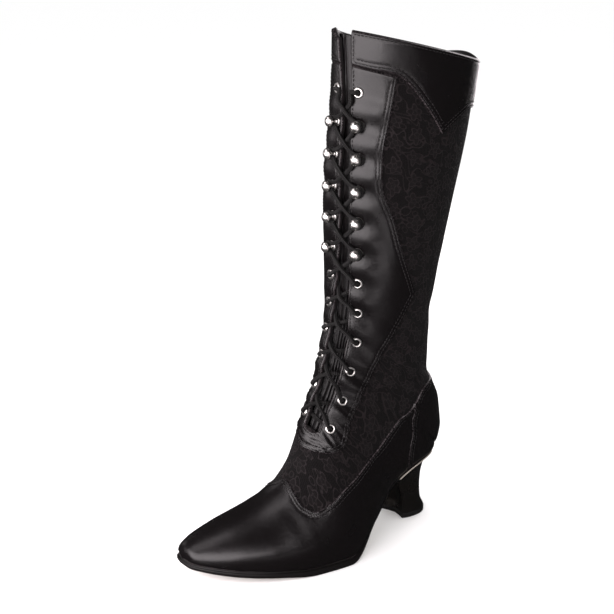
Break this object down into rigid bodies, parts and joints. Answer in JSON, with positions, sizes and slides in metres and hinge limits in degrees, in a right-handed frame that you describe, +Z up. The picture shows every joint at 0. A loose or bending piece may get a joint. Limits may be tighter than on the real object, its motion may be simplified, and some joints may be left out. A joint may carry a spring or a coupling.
{
  "type": "lace-up bridal boot",
  "caption": "Calf-high lace-up boot of smooth black leather and floral lace fabric, with eyelets, ball lacing hooks, a curved heel and a hollow shaft open at the collar.",
  "frame": {"origin": "centre of the heel's tread, on the floor", "axes": "+X forward to the toe, +Y to the wearer's left, which is the outer side, +Z up the shaft"},
  "size_m": [0.2566, 0.103, 0.4055],
  "materials": {
    "lace_fabric": "matte black floral lace over black cloth",
    "smooth_leather": "smooth, glossy black",
    "tongue_leather": "pleated soft black",
    "insole": "smooth black sock",
    "outsole": "black edge, tan-grey tread",
    "heel": "satin black",
    "top_lift": "matte black",
    "nickel": "bright nickel plate",
    "lace_cord": "round braided black cord"
  },
  "bodies": {
    "root": {"upper": "lace_fabric", "vamp": "smooth_leather", "counter": "smooth_leather", "backstay": "smooth_leather", "cuff": "smooth_leather", "facing": "smooth_leather", "tongue": "tongue_leather", "outsole": "outsole", "insole": "insole", "heel": "heel", "top_lift": "top_lift", "eyelet_outer_1": "nickel", "eyelet_outer_2": "nickel", "eyelet_outer_3": "nickel", "eyelet_outer_4": "nickel", "eyelet_outer_5": "nickel", "eyelet_outer_6": "nickel", "eyelet_outer_7": "nickel", "eyelet_inner_1": "nickel", "eyelet_inner_2": "nickel", "eyelet_inner_3": "nickel", "eyelet_inner_4": "nickel", "eyelet_inner_5": "nickel", "eyelet_inner_6": "nickel", "eyelet_inner_7": "nickel", "hook_outer_1": "nickel", "hook_outer_2": "nickel", "hook_outer_3": "nickel", "hook_outer_4": "nickel", "hook_outer_5": "nickel", "hook_inner_1": "nickel", "hook_inner_2": "nickel", "hook_inner_3": "nickel", "hook_inner_4": "nickel", "hook_inner_5": "nickel", "lace": "lace_cord"}
  },
  "joints": []
}
